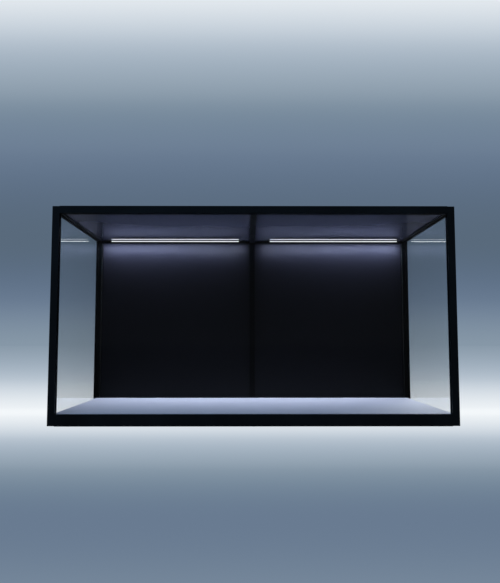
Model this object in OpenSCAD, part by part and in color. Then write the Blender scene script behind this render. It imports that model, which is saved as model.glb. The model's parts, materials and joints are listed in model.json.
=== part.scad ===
// Tabletop display case: black aluminium frame, glazed front and sides, opaque roof,
// two hinged rear doors, a white deck and two light strips. Millimetres, +Z up.
// Origin: centre of the footprint, on the surface the case stands on. Front faces -Y.

/* [Case] */
// Overall width, left to right
outer_w = 1200; // [1000:10:1500]
// Overall depth, front to rear
outer_d = 570; // [480:10:700]
// Overall height above the standing surface
outer_h = 650; // [520:10:900]

/* [Frame] */
// Side of the square corner posts and width of every rail
profile = 21; // [21:1:26]
// Height of the deck surface and of the front and rear base rails
base_h = 35.2; // [34:0.1:45]
// Height of the outer lips of the two side base rails
side_base_h = 30; // [29:0.5:34]
// Height of the front and rear top rails
top_rail_h = 22; // [22:0.5:26]
// Height of the two side top rails
side_rail_h = 17.5; // [17:0.5:20]
// How far the posts stop short of the rails, at top and bottom
post_step = 1; // [0.5:0.5:2]
// How far the rubber pads stand proud of the base rails
pad_proud = 0.5; // [0.5:0.1:1.5]
// Width of the rear centre post
centre_post_w = 20; // [20:1:24]

/* [Glass and panels] */
// Distance from the outer faces to the glass
glass_setback = 8; // [7:0.5:8]
// Thickness of the front pane
front_glass_t = 6; // [4:1:6]
// Thickness of each side pane
side_glass_t = 5; // [4:1:5]
// Thickness of the deck panel
deck_t = 8; // [6:1:8]
// Drop from the top of the case to the ceiling
ceiling_drop = 13.3; // [12:0.1:13.9]
// Thickness of each ceiling panel
ceiling_t = 3; // [2:0.5:3]
// Thickness of the outer roof panel
roof_t = 2.5; // [2:0.5:2.5]

/* [Doors] */
// Thickness of the rear doors
door_t = 12; // [12:1:12]
// Gap between a door and the frame
door_gap = 1.2; // [1:0.1:1.5]
// Height of the lock above the standing surface
lock_z = 330; // [200:10:400]
// Height of the finger pull above the standing surface
pull_z = 270; // [120:10:290]

/* [Lights] */
// Lit length of each strip
light_len = 490; // [300:10:490]
// Centre of the left strip, across the case
light_left_x = -297; // [-300:1:-280]
// Centre of the right strip, across the case
light_right_x = 314; // [300:1:320]
// Light chips on each strip
chip_count = 30; // [10:1:40]

/* [Hidden] */
$fn = 48;

// Half sizes, and the inner faces of the frame
hx = outer_w / 2;
hy = outer_d / 2;
in_x = hx - profile;
in_y = hy - profile;
eps = 0.01;

// Finishes
black = [0.05, 0.055, 0.06];
satin_black = [0.10, 0.10, 0.12];
white = [0.92, 0.93, 0.95];
steel = [0.62, 0.63, 0.65];
rubber = [0.08, 0.08, 0.08];

// Base: bottom pan, chamber in the rails, glazing groove, deck
base_z = pad_proud;
pan_t = 1.5;
pan_lap = 6;
wall = 2;
deck_under = base_h - deck_t;
groove_floor = base_h - 12.6;
chamber_z = [base_z + pan_t + 2.1, groove_floor - wall];
rear_chamber_top = base_h - 3;
ledge_w = 6.5;
ledge_t = 2.5;
stop_t = 3;
stop_h = 3.6;

// Glazing: clearance either side of the pane, and depth of pane in the posts
glazing_gap = 0.8;
post_groove = 5;
pane_in_post = 4;
front_groove = [glass_setback - glazing_gap, glass_setback + front_glass_t + glazing_gap];
side_groove = [glass_setback - glazing_gap, glass_setback + side_glass_t + glazing_gap];
front_groove_top = outer_h - 13;
side_groove_top = outer_h - 9.5;
pane_lift = 1.5;
pane_rest = 2;
gasket_leg = 4.5;
edge_gap = 0.3;
pane_bottom = groove_floor + pane_rest;

// Roof: ledges measured in from the outer face, and the chamber above them
ceiling_z = outer_h - ceiling_drop;
roof_z = outer_h - roof_t;
ceiling_ledge = 4;
roof_ledge = profile - 9;
top_chamber_d = [2.5, profile - ceiling_ledge - 1];
top_chamber_z = [outer_h - 8, outer_h - 4];
beam_half = 9.5;

// Light slot in the rear top rail
slot_depth = 6.5;
slot_z = [outer_h - 20, outer_h - 14.6];
channel_wall = 1;
channel_z = [slot_z[0] + 0.1, slot_z[1] - 0.1];
channel_y = [in_y + 0.2, in_y + slot_depth - 0.1];
dome_rise = 1.4;
board_t = 0.8;
chip = [3.5, 0.7, 2.8];

// Corner joints
spigot_len = 22;
base_screw_z = [base_z + 8.2, base_z + 14.7];
top_screw_z = outer_h - 6;
base_screw_d = profile / 2;
top_screw_d = 9;

// Screws in them: [shank radius, head radius, head recess depth, length in the post]
base_screw = [2, 3.5, 4.5, 12];
top_screw = [1.25, 1.7, 2.5, 8.5];
thread_gap = 0.1;
head_gap = 0.3;

// Panel screws and pads
screw_r = 1.5;
screw_head_r = 2.8;
screw_len = 7;
screw_gap = 0.1;
pad_r = 6.5;
pad_d = 8;
pad_recess = 1.5;
pad_x = [-hx * 0.9, 0, hx * 0.9];
pan_screw_d = 18;
roof_screw_d = 13;
screw_x = [-hx * 0.86, -hx * 0.43, 0, hx * 0.43, hx * 0.86];
screw_y = [-hy * 0.6, 0, hy * 0.6];
bearer_x = [-hx * 0.325, hx * 0.325];
bearer_w = 20;

// Doors, closed: front face, rear face, pivot axis and free edge
post_half = centre_post_w / 2;
post_body_half = 6;
door_y = [hy - 3 - door_t, hy - 3];
pivot_r = door_t / 2;
pivot_y = hy - 3 - pivot_r;
pivot_x = -in_x + 0.8 + pivot_r;
door_edge = -post_body_half - door_gap;
door_z = [base_h + 1.4, outer_h - top_rail_h - door_gap];
stop_z = outer_h - top_rail_h - 3.7;
pin_r = 3;
pin_in_door = 14;
pin_out = 8;
bush_r = 4.5;
bush_flange_r = 5.5;
bush_len = 8.5;
running = 0.05;

// Lock and pull
lock_x = door_edge - 11;
lock_barrel_r = 8;
plug_r = 5;
cam_y = [door_y[0] + 3.6, door_y[0] + 5.6];
cam_len = 16;
cam_half = 4;
pocket_y = [cam_y[0] - 0.4, cam_y[1] + 0.6];
pocket_r = cam_len + 1;
lock_face = 1.2;
cam_boss_r = 7;
plug_tail_r = 2.5;
key_slot = [1.2, 6.4, 4];
pull_x = door_edge - 37;
pull_r = 16;
pull_depth = 7.6;
pull_wall = 1.2;

// Mains entry in the rear base rail
cup_x = [100, 184];
cup_z = [7, 29];
cup_y = [hy - 8, hy - 0.2];
cup_wall = 1.5;
cup_floor = cup_y[0] + cup_wall;
gland_x = 118;
entry_z = 18;
gland_r = 6;
cord_r = 3.5;
switch_x = 157;
gland_nut_r = 8.5;
switch_w = 20;
switch_h = 12;
switch_wall = 1.5;
switch_bezel = [2, 1];
rocker_pivot_y = cup_floor - 1;
rocker_pin_r = 1.5;
rocker_half = 7.5;
rocker_h = 9.6;
rocker_tilt = 8;
driver = [[40, 205, base_z + pan_t], [175, 240, base_z + pan_t + 18]];
loom_z = 11;
loom_y = hy - 5;
loom_r = 2;
loom_bend = 5;
loom_hole_r = 2.6;
branch_r = 1.2;
switch_lead_r = 1.5;
wire_r = 0.7;
wire_bend = 2;
wire_y = hy - 15.1;

// --- Helpers ---

// Box from one corner to the opposite one
module box(low, high) {
    translate(low) cube(high - low);
}

// A section drawn as (distance, height), drawn out along X or along Y
module along_x(x0, x1) {
    translate([x0, 0, 0]) rotate([90, 0, 90]) linear_extrude(x1 - x0) children();
}
module along_y(y0, y1) {
    translate([0, y1, 0]) rotate([90, 0, 0]) linear_extrude(y1 - y0) children();
}

// Rails: the section's first coordinate is the distance in from the outer face
module front_rail() {
    translate([0, -hy, 0]) along_x(-in_x, in_x) children();
}
module rear_rail() {
    mirror([0, 1, 0]) front_rail() children();
}
module left_rail() {
    translate([-hx, 0, 0]) along_y(-in_y, in_y) children();
}
module right_rail() {
    mirror([1, 0, 0]) left_rail() children();
}

// Round bar between two points along one axis
module bar_x(x0, x1, y, z, r) {
    translate([x0, y, z]) rotate([0, 90, 0]) cylinder(h = x1 - x0, r = r);
}
module bar_y(x, y0, y1, z, r) {
    translate([x, y1, z]) rotate([90, 0, 0]) cylinder(h = y1 - y0, r = r);
}
module bar_z(x, y, z0, z1, r) {
    translate([x, y, z0]) cylinder(h = z1 - z0, r = r);
}

// The same thing at every corner of the plan, mirrored from the front left one
module four_corners() {
    for (sx = [0, 1], sy = [0, 1])
        mirror([sx, 0, 0]) mirror([0, sy, 0]) children();
}
module left_and_right() {
    children();
    mirror([1, 0, 0]) children();
}
module front_and_rear() {
    children();
    mirror([0, 1, 0]) children();
}

// Plate with a post-sized notch at each corner
module notched_plate(x, y, z0, z1) {
    difference() {
        box([-x, -y, z0], [x, y, z1]);
        four_corners()
            box([-x - 1, -y - 1, z0 - 1], [-in_x + edge_gap, -in_y + edge_gap, z1 + 1]);
    }
}

// --- Base ---

module base_section(groove, lip) {
    difference() {
        polygon([[0, base_z], [profile - pan_lap, base_z], [profile - pan_lap, base_z + pan_t],
                 [profile, base_z + pan_t], [profile, deck_under], [groove[1], deck_under],
                 [groove[1], groove_floor], [groove[0], groove_floor], [groove[0], lip], [0, lip]]);
        base_chamber(chamber_z[1]);
    }
}

module base_chamber(top) {
    translate([wall, chamber_z[0]]) square([profile - 2 * wall, top - chamber_z[0]]);
}

// The rear rail has a ledge for the deck and an upstand that the doors close on
module base_rear_section() {
    difference() {
        polygon([[0, base_z], [profile - pan_lap, base_z], [profile - pan_lap, base_z + pan_t],
                 [profile, base_z + pan_t], [profile, deck_under - ledge_t],
                 [profile + ledge_w, deck_under - ledge_t], [profile + ledge_w, deck_under],
                 [profile, deck_under], [profile, base_h + stop_h],
                 [profile - stop_t, base_h + stop_h], [profile - stop_t, base_h], [0, base_h]]);
        base_chamber(rear_chamber_top);
    }
}

// Blind recesses for the pads, and pilot holes for the pan screws, on the front rail
module pad_recesses() {
    for (x = pad_x)
        bar_z(x, -hy + pad_d, base_z - 1, base_z + pad_recess, pad_r + 0.2);
}
module pan_screw_holes_x() {
    for (x = screw_x)
        bar_z(x, -hy + pan_screw_d, base_z - 1, base_z + screw_len + 0.5, screw_r + screw_gap);
}
module pan_screw_holes_y() {
    for (y = screw_y)
        bar_z(-hx + pan_screw_d, y, base_z - 1, base_z + screw_len + 0.5, screw_r + screw_gap);
}

module base_rail_front() {
    color(black) difference() {
        front_rail() base_section(front_groove, base_h);
        pad_recesses();
        pan_screw_holes_x();
    }
}

module base_rail_rear() {
    color(black) difference() {
        rear_rail() base_rear_section();
        mirror([0, 1, 0]) pad_recesses();
        mirror([0, 1, 0]) pan_screw_holes_x();
        left_and_right()
            bar_z(pivot_x, pivot_y, rear_chamber_top - 1, base_h + 1, bush_r);
        box([cup_x[0], hy - wall - 1, cup_z[0]], [cup_x[1], hy + 1, cup_z[1]]);
        bar_y(gland_x, in_y - 1, in_y + wall + 1, entry_z, cord_r + 1.5);
        bar_y(switch_x, in_y - 1, in_y + wall + 1, entry_z, switch_lead_r + 0.5);
        bar_y(0, in_y - 1, in_y + wall + 1, loom_z, loom_hole_r);
        bar_z(0, loom_y, rear_chamber_top - 1, base_h + 1, loom_hole_r);
    }
}

module base_rail_left() {
    color(black) difference() {
        left_rail() base_section(side_groove, side_base_h);
        pan_screw_holes_y();
    }
}

module base_rail_right() {
    mirror([1, 0, 0]) base_rail_left();
}

module base_pan() {
    color(satin_black) difference() {
        notched_plate(in_x + pan_lap - 0.2, in_y + pan_lap - 0.2, base_z, base_z + pan_t);
        front_and_rear() for (x = screw_x)
            translate([x, -hy + pan_screw_d, base_z]) countersink();
        left_and_right() for (y = screw_y)
            translate([-hx + pan_screw_d, y, base_z]) countersink();
    }
}

// Countersunk hole that opens downwards, with 0.1 mm of clearance around the screw
module countersink() {
    translate([0, 0, -eps])
        cylinder(h = pan_t + eps, r1 = screw_head_r + screw_gap, r2 = screw_r + screw_gap);
    cylinder(h = roof_t + 1, r = screw_r + screw_gap);
}

module countersunk_screw() {
    cylinder(h = pan_t, r1 = screw_head_r, r2 = screw_r);
    cylinder(h = screw_len, r = screw_r);
}

module panel_screws() {
    color(steel) {
        front_and_rear() for (x = screw_x) {
            translate([x, -hy + pan_screw_d, base_z]) countersunk_screw();
            translate([x, -hy + roof_screw_d, outer_h]) mirror([0, 0, 1]) countersunk_screw();
        }
        left_and_right() for (y = screw_y) {
            translate([-hx + pan_screw_d, y, base_z]) countersunk_screw();
            translate([-hx + roof_screw_d, y, outer_h]) mirror([0, 0, 1]) countersunk_screw();
        }
    }
}

module base_pads() {
    color(rubber) front_and_rear() for (x = pad_x)
        bar_z(x, -hy + pad_d, 0, base_z + pad_recess, pad_r);
}

module deck_bearers() {
    color(steel) for (x = bearer_x) difference() {
        box([x - bearer_w / 2, -in_y, base_z + pan_t], [x + bearer_w / 2, in_y - ledge_w, deck_under]);
        box([x - bearer_w / 2 + wall, -in_y - 1, base_z + pan_t + wall],
            [x + bearer_w / 2 - wall, in_y, deck_under - wall]);
    }
}

module deck_panel() {
    deck_x = hx - glass_setback - side_glass_t - edge_gap;
    deck_front = -hy + glass_setback + front_glass_t + edge_gap;
    color(white) difference() {
        box([-deck_x, deck_front, deck_under], [deck_x, in_y - edge_gap, base_h]);
        left_and_right()
            box([-hx, -hy, 0], [-in_x + edge_gap, -in_y + edge_gap, outer_h]);
    }
}

// --- Posts ---

module post_blank() {
    box([-hx, -hy, base_z + post_step], [-in_x, -in_y, outer_h - post_step]);
}

// Groove for a pane, cut into one side of the front left post
module front_pane_groove() {
    box([-in_x - post_groove, -hy + front_groove[0], groove_floor],
        [-in_x + 1, -hy + front_groove[1], front_groove_top]);
}
module side_pane_groove() {
    box([-hx + side_groove[0], -in_y - post_groove, groove_floor],
        [-hx + side_groove[1], -in_y + 1, side_groove_top]);
}

// Tapped holes that take the spigot screws
module post_screw_holes() {
    base_r = base_screw[0] + thread_gap;
    base_end = base_screw[3] + head_gap;
    top_r = top_screw[0] + thread_gap;
    top_end = top_screw[3] + head_gap;
    bar_x(-in_x - base_end, -in_x + 1, -hy + base_screw_d, base_screw_z[0], base_r);
    bar_y(-hx + base_screw_d, -in_y - base_end, -in_y + 1, base_screw_z[1], base_r);
    bar_x(-in_x - top_end, -in_x + 1, -hy + top_screw_d, top_screw_z, top_r);
    bar_y(-hx + top_screw_d, -in_y - top_end, -in_y + 1, top_screw_z, top_r);
}

module post_front_left() {
    color(black) difference() {
        post_blank();
        front_pane_groove();
        side_pane_groove();
        post_screw_holes();
    }
}

module post_front_right() {
    mirror([1, 0, 0]) post_front_left();
}

module post_rear_left() {
    color(black) mirror([0, 1, 0]) difference() {
        post_blank();
        side_pane_groove();
        post_screw_holes();
    }
}

module post_rear_right() {
    mirror([1, 0, 0]) post_rear_left();
}

// Hollow post between the doors: a flange that they close on, slotted for the lock cams
module post_rear_centre() {
    color(black) difference() {
        union() {
            box([-post_half, in_y, base_h + stop_h], [post_half, in_y + stop_t, stop_z]);
            box([-post_body_half, in_y, base_h + stop_h], [post_body_half, hy, stop_z]);
            box([-post_body_half, in_y + stop_t, base_h], [post_body_half, hy, outer_h - top_rail_h]);
        }
        box([-post_body_half + wall, in_y + stop_t + wall, 0],
            [post_body_half - wall, hy - wall, outer_h]);
        box([-post_half, pocket_y[0], lock_z - cam_len],
            [post_half, pocket_y[1], lock_z + cam_half + 2]);
    }
}

// --- Top frame ---

// Ledges for the ceiling and the roof panels, shared by the four top rails
top_inner = [[profile, ceiling_z], [profile - ceiling_ledge, ceiling_z],
             [profile - ceiling_ledge, roof_z], [profile - roof_ledge, roof_z],
             [profile - roof_ledge, outer_h], [0, outer_h]];

module top_chamber() {
    translate([top_chamber_d[0], top_chamber_z[0]])
        square([top_chamber_d[1] - top_chamber_d[0], top_chamber_z[1] - top_chamber_z[0]]);
}

module top_section(height, groove, groove_top) {
    under = outer_h - height;
    difference() {
        polygon(concat([[0, under], [groove[0], under], [groove[0], groove_top],
                        [groove[1], groove_top], [groove[1], under], [profile, under]], top_inner));
        top_chamber();
    }
}

// The rear rail has a lip that the doors close on and a slot for the light strips
module top_rear_section() {
    under = outer_h - top_rail_h;
    difference() {
        polygon(concat([[0, under], [profile - stop_t, under], [profile - stop_t, stop_z],
                        [profile, stop_z], [profile, slot_z[0]], [profile - slot_depth, slot_z[0]],
                        [profile - slot_depth, slot_z[1]], [profile, slot_z[1]]], top_inner));
        top_chamber();
    }
}

module roof_screw_holes_x() {
    for (x = screw_x)
        bar_z(x, -hy + roof_screw_d, top_chamber_z[1] - 1, outer_h, screw_r + screw_gap);
}
module roof_screw_holes_y() {
    for (y = screw_y)
        bar_z(-hx + roof_screw_d, y, top_chamber_z[1] - 1, outer_h, screw_r + screw_gap);
}

module top_rail_front() {
    color(black) difference() {
        front_rail() top_section(top_rail_h, front_groove, front_groove_top);
        roof_screw_holes_x();
    }
}

module top_rail_rear() {
    color(black) difference() {
        rear_rail() top_rear_section();
        mirror([0, 1, 0]) roof_screw_holes_x();
        left_and_right()
            bar_z(pivot_x, pivot_y, stop_z, outer_h - top_rail_h + bush_len, bush_r);
        bar_z(0, loom_y, stop_z, top_chamber_z[0] + 1, loom_hole_r);
        for (x = [light_left_x, light_right_x])
            bar_z(x, wire_y, slot_z[0], top_chamber_z[0] + 1, wire_r + 0.2);
    }
}

module top_rail_left() {
    color(black) difference() {
        left_rail() top_section(side_rail_h, side_groove, side_groove_top);
        roof_screw_holes_y();
    }
}

module top_rail_right() {
    mirror([1, 0, 0]) top_rail_left();
}

module roof_beam() {
    shelf = beam_half - ceiling_ledge;
    color(black) difference() {
        union() {
            box([-beam_half, -in_y, outer_h - top_rail_h], [beam_half, in_y, ceiling_z]);
            box([-shelf, -in_y - ceiling_ledge, ceiling_z], [shelf, in_y + ceiling_ledge, roof_z]);
        }
        box([-shelf + wall, -hy, ceiling_z + 2], [shelf - wall, hy, roof_z - wall]);
    }
}

module ceiling_panel_left() {
    outer = in_x + ceiling_ledge - edge_gap;
    long = in_y + ceiling_ledge - edge_gap;
    color(satin_black) intersection() {
        notched_plate(outer, long, ceiling_z, ceiling_z + ceiling_t);
        box([-hx, -hy, 0], [-beam_half + ceiling_ledge - edge_gap, hy, outer_h]);
    }
}

module ceiling_panel_right() {
    mirror([1, 0, 0]) ceiling_panel_left();
}

module roof_panel() {
    color(black) difference() {
        notched_plate(in_x + roof_ledge - 0.2, in_y + roof_ledge - 0.2, roof_z, outer_h);
        front_and_rear() for (x = screw_x)
            translate([x, -hy + roof_screw_d, outer_h]) mirror([0, 0, 1]) countersink();
        left_and_right() for (y = screw_y)
            translate([-hx + roof_screw_d, y, outer_h]) mirror([0, 0, 1]) countersink();
    }
}

// --- Corner joints ---

// Front left corner: one block in the end of the front rail, one in the side rail
module spigot_pair(d, z, screws_z, screw_d, screw) {
    hole_r = screw[0] + thread_gap;
    head_r = screw[1] + thread_gap;
    seat = spigot_len - screw[2];
    difference() {
        union() {
            box([-in_x, -hy + d[0], z[0]], [-in_x + spigot_len, -hy + d[1], z[1]]);
            box([-hx + d[0], -in_y, z[0]], [-hx + d[1], -in_y + spigot_len, z[1]]);
        }
        bar_x(-in_x - 1, -in_x + spigot_len + 1, -hy + screw_d, screws_z[0], hole_r);
        bar_y(-hx + screw_d, -in_y - 1, -in_y + spigot_len + 1, screws_z[1], hole_r);
        bar_x(-in_x + seat, -in_x + spigot_len + 1, -hy + screw_d, screws_z[0], head_r);
        bar_y(-hx + screw_d, -in_y + seat, -in_y + spigot_len + 1, screws_z[1], head_r);
    }
}

module spigot_screws(screws_z, screw_d, screw) {
    seat = spigot_len - screw[2];
    top = spigot_len - head_gap;
    bar_x(-in_x - screw[3], -in_x + seat, -hy + screw_d, screws_z[0], screw[0]);
    bar_x(-in_x + seat, -in_x + top, -hy + screw_d, screws_z[0], screw[1]);
    bar_y(-hx + screw_d, -in_y - screw[3], -in_y + seat, screws_z[1], screw[0]);
    bar_y(-hx + screw_d, -in_y + seat, -in_y + top, screws_z[1], screw[1]);
}

module base_spigots() {
    color(steel) four_corners()
        spigot_pair([wall, profile - wall], chamber_z, base_screw_z, base_screw_d, base_screw);
}

module base_spigot_screws() {
    color(steel) four_corners()
        spigot_screws(base_screw_z, base_screw_d, base_screw);
}

module top_spigots() {
    color(steel) four_corners()
        spigot_pair(top_chamber_d, top_chamber_z, [top_screw_z, top_screw_z], top_screw_d, top_screw);
}

module top_spigot_screws() {
    color(steel) four_corners()
        spigot_screws([top_screw_z, top_screw_z], top_screw_d, top_screw);
}

// --- Glass and its gaskets ---

module glass_front() {
    x = in_x + pane_in_post;
    color([0.75, 0.85, 0.85, 0.25])
        box([-x, -hy + glass_setback, pane_bottom],
            [x, -hy + glass_setback + front_glass_t, front_groove_top - pane_lift]);
}

module glass_left() {
    y = in_y + pane_in_post;
    color([0.75, 0.85, 0.85, 0.25])
        box([-hx + glass_setback, -y, pane_bottom],
            [-hx + glass_setback + side_glass_t, y, side_groove_top - pane_lift]);
}

module glass_right() {
    mirror([1, 0, 0]) glass_left();
}

// Channel section around a pane edge: floor at height zero, legs upwards
module gasket_section(groove, floor_t) {
    pane = [groove[0] + glazing_gap, groove[1] - glazing_gap];
    difference() {
        translate([groove[0], 0]) square([groove[1] - groove[0], gasket_leg]);
        translate([pane[0], floor_t]) square([pane[1] - pane[0], gasket_leg]);
    }
}

module gasket_front() {
    color(rubber) {
        front_rail() translate([0, groove_floor]) gasket_section(front_groove, pane_rest);
        front_rail() translate([0, front_groove_top]) mirror([0, 1])
            gasket_section(front_groove, pane_lift);
        left_and_right() translate([-in_x - post_groove, -hy, pane_bottom])
            linear_extrude(front_groove_top - pane_lift - pane_bottom)
                rotate(90) mirror([0, 1]) gasket_section(front_groove, 1);
    }
}

module gasket_sides() {
    color(rubber) left_and_right() {
        left_rail() translate([0, groove_floor]) gasket_section(side_groove, pane_rest);
        left_rail() translate([0, side_groove_top]) mirror([0, 1])
            gasket_section(side_groove, pane_lift);
        front_and_rear() translate([-hx, -in_y - post_groove, pane_bottom])
            linear_extrude(side_groove_top - pane_lift - pane_bottom)
                gasket_section(side_groove, 1);
    }
}

// --- Lights ---

module light_channel(x) {
    color(satin_black) difference() {
        box([x - light_len / 2, channel_y[0], channel_z[0]],
            [x + light_len / 2, channel_y[1], channel_z[1]]);
        box([x - light_len, 0, channel_z[0] + channel_wall],
            [x + light_len, channel_y[1] - channel_wall, channel_z[1] - channel_wall]);
    }
}

module light_board(x) {
    back = channel_y[1] - channel_wall;
    color(white)
        box([x - light_len / 2, back - board_t, channel_z[0] + channel_wall],
            [x + light_len / 2, back, channel_z[1] - channel_wall]);
}

module light_chips() {
    pitch = light_len / chip_count;
    face = channel_y[1] - channel_wall - board_t;
    middle = (channel_z[0] + channel_z[1]) / 2;
    low = [(pitch - light_len - chip[0]) / 2, face - chip[1], middle - chip[2] / 2];
    color([1, 0.95, 0.6]) for (x = [light_left_x, light_right_x], i = [0:chip_count - 1])
        translate(low + [x + i * pitch, 0, 0]) cube(chip);
}

// Opal cover that snaps into the channel, with a rounded front
module light_diffuser(x) {
    z = [channel_z[0] + channel_wall, channel_z[1] - channel_wall];
    half = (z[1] - z[0]) / 2;
    r = (half * half + dome_rise * dome_rise) / (2 * dome_rise);
    color([0.95, 0.97, 1]) intersection() {
        bar_x(x - light_len / 2, x + light_len / 2, channel_y[0] - dome_rise + r, z[0] + half, r);
        box([x - light_len, 0, z[0]], [x + light_len, channel_y[0] + 1.6, z[1]]);
    }
}

// Plain covers that close the slot where there is no strip
module light_blanks() {
    ends = [[-in_x, light_left_x - light_len / 2],
            [light_left_x + light_len / 2, light_right_x - light_len / 2],
            [light_right_x + light_len / 2, in_x]];
    color(black) for (e = ends)
        box([e[0] + 0.2, in_y, channel_z[0]], [e[1] - 0.2, channel_y[1], channel_z[1]]);
}

module light_driver() {
    color(white) {
        box(driver[0], driver[1]);
        for (x = [driver[0][0] - 8, driver[1][0]])
            box([x, driver[0][1] + 8, driver[0][2]], [x + 8, driver[1][1] - 8, driver[0][2] + 2]);
    }
}

// Quarter bend in a lead, from +X round to +Y
module elbow(bend, r) {
    rotate_extrude(angle = 90) translate([bend, 0]) circle(r);
}

// Lead from the driver up inside the centre post to both strips, and the switch lead
module light_loom() {
    lead_y = driver[0][1] + 17;
    color([0.2, 0.2, 0.22]) {
        bar_x(loom_bend, driver[0][0], lead_y, loom_z, loom_r);
        translate([loom_bend, lead_y + loom_bend, loom_z]) rotate(180) elbow(loom_bend, loom_r);
        bar_y(0, lead_y + loom_bend, loom_y - loom_bend, loom_z, loom_r);
        translate([0, loom_y - loom_bend, loom_z + loom_bend]) rotate([90, 0, 90]) rotate(-90)
            elbow(loom_bend, loom_r);
        bar_z(0, loom_y, loom_z + loom_bend, top_screw_z + 1, loom_r);
        bar_x(light_left_x - wire_bend, light_right_x + wire_bend, loom_y, top_screw_z, branch_r);
        for (x = [light_left_x, light_right_x]) {
            bar_y(x, wire_y + wire_bend, loom_y, top_screw_z, wire_r);
            translate([x, wire_y + wire_bend, top_screw_z - wire_bend]) rotate([90, 0, 90]) rotate(90)
                elbow(wire_bend, wire_r);
            bar_z(x, wire_y, slot_z[1], top_screw_z - wire_bend, wire_r);
        }
        bar_y(switch_x, driver[1][1], in_y + wall + 2, entry_z, switch_lead_r);
    }
}

// --- Mains entry ---

module service_cup() {
    inset = [cup_wall, 0, cup_wall];
    color(satin_black) difference() {
        box([cup_x[0], cup_y[0], cup_z[0]], [cup_x[1], cup_y[1], cup_z[1]]);
        box([cup_x[0], cup_floor, cup_z[0]] + inset, [cup_x[1], hy + 1, cup_z[1]] - inset);
        bar_y(gland_x, cup_y[0] - 1, cup_floor + 1, entry_z, gland_r + 0.1);
        box([switch_x - switch_w / 2, cup_y[0] - 1, entry_z - switch_h / 2],
            [switch_x + switch_w / 2, cup_floor + 1, entry_z + switch_h / 2]);
    }
}

module cord_gland() {
    color(satin_black) difference() {
        union() {
            bar_y(gland_x, in_y + wall + 1.5, cup_y[1] - 0.2, entry_z, gland_r);
            gland_nut(cup_floor + 4, 4);
            gland_nut(cup_y[0], 3);
        }
        bar_y(gland_x, in_y, hy, entry_z, cord_r);
    }
}

module gland_nut(rear, thick) {
    translate([gland_x, rear, entry_z]) rotate([90, 0, 0])
        cylinder(h = thick, r = gland_nut_r, $fn = 6);
}

module switch_housing() {
    back = in_y + wall + 2;
    half_w = switch_w / 2;
    half_h = switch_h / 2;
    inner_w = half_w - switch_wall;
    inner_h = rocker_h / 2 + 0.2;
    color(satin_black) difference() {
        union() {
            box([switch_x - half_w, back, entry_z - half_h],
                [switch_x + half_w, cup_floor, entry_z + half_h]);
            box([switch_x - half_w - switch_bezel[0], cup_floor, entry_z - half_h - switch_bezel[1]],
                [switch_x + half_w + switch_bezel[0], cup_floor + 1.5, entry_z + half_h + switch_bezel[1]]);
        }
        box([switch_x - inner_w, back + 2, entry_z - inner_h], [switch_x + inner_w, hy, entry_z + inner_h]);
        bar_z(switch_x, rocker_pivot_y, entry_z - half_h - 0.5, entry_z + half_h + 0.5,
              rocker_pin_r + running);
    }
}

// Rocker, shown switched on: tilted one way about its vertical pivot
module switch_rocker() {
    color(black) translate([switch_x, rocker_pivot_y, entry_z]) {
        rotate([0, 0, rocker_tilt]) translate([0, 0, -rocker_h / 2]) linear_extrude(rocker_h)
            polygon([[-rocker_half, 0], [rocker_half, 0], [rocker_half, 4.2], [0, 2.8],
                     [-rocker_half, 4.2]]);
        cylinder(h = rocker_h, r = rocker_pin_r + 1, center = true);
        cylinder(h = rocker_h + 2, r = rocker_pin_r, center = true);
    }
}

// --- Doors, drawn for the left one ---

module door_seal_left() {
    y = [in_y + stop_t, door_y[0] - 0.4];
    inner = -post_body_half - edge_gap;
    rail_under = outer_h - top_rail_h;
    color(rubber) {
        box([-in_x + 0.5, y[0], stop_z + 0.2], [inner, y[1], rail_under]);
        box([-in_x + 0.5, y[0], base_h], [inner, y[1], base_h + stop_h - 0.2]);
        box([-post_half + 0.2, y[0], base_h], [inner, y[1], rail_under]);
    }
}

module door_seal_right() {
    mirror([1, 0, 0]) door_seal_left();
}

module pivot_bushes() {
    rail_under = outer_h - top_rail_h;
    color([0.85, 0.85, 0.8]) left_and_right() difference() {
        union() {
            bar_z(pivot_x, pivot_y, rail_under, rail_under + bush_len, bush_r);
            bar_z(pivot_x, pivot_y, door_z[1] + 0.3, rail_under, bush_flange_r);
            bar_z(pivot_x, pivot_y, base_h - bush_len, base_h, bush_r);
            bar_z(pivot_x, pivot_y, base_h, door_z[0] - 0.3, bush_flange_r);
        }
        bar_z(pivot_x, pivot_y, 0, outer_h - top_rail_h + bush_len - 0.5, pin_r + running);
    }
}

module door_panel_left() {
    color(satin_black) difference() {
        union() {
            box([pivot_x, door_y[0], door_z[0]], [door_edge, door_y[1], door_z[1]]);
            difference() {
                bar_z(pivot_x, pivot_y, door_z[0], door_z[1], pivot_r);
                box([pivot_x, 0, 0], [0, hy + 1, outer_h]);
            }
        }
        bar_z(pivot_x, pivot_y, door_z[0] - 1, door_z[0] + pin_in_door, pin_r);
        bar_z(pivot_x, pivot_y, door_z[1] - pin_in_door, door_z[1] + 1, pin_r);
        bar_y(lock_x, pocket_y[0], pocket_y[1], lock_z, pocket_r);
        bar_y(lock_x, pocket_y[0] + 1, hy, lock_z, lock_barrel_r);
        bar_y(pull_x, door_y[1] - pull_depth, hy, pull_z, pull_r);
    }
}

module door_panel_right() {
    mirror([1, 0, 0]) door_panel_left();
}

module door_pivots_left() {
    color(steel) {
        bar_z(pivot_x, pivot_y, door_z[0] - pin_out, door_z[0] + pin_in_door, pin_r);
        bar_z(pivot_x, pivot_y, door_z[1] - pin_in_door, door_z[1] + pin_out, pin_r);
    }
}

module door_pivots_right() {
    mirror([1, 0, 0]) door_pivots_left();
}

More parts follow.
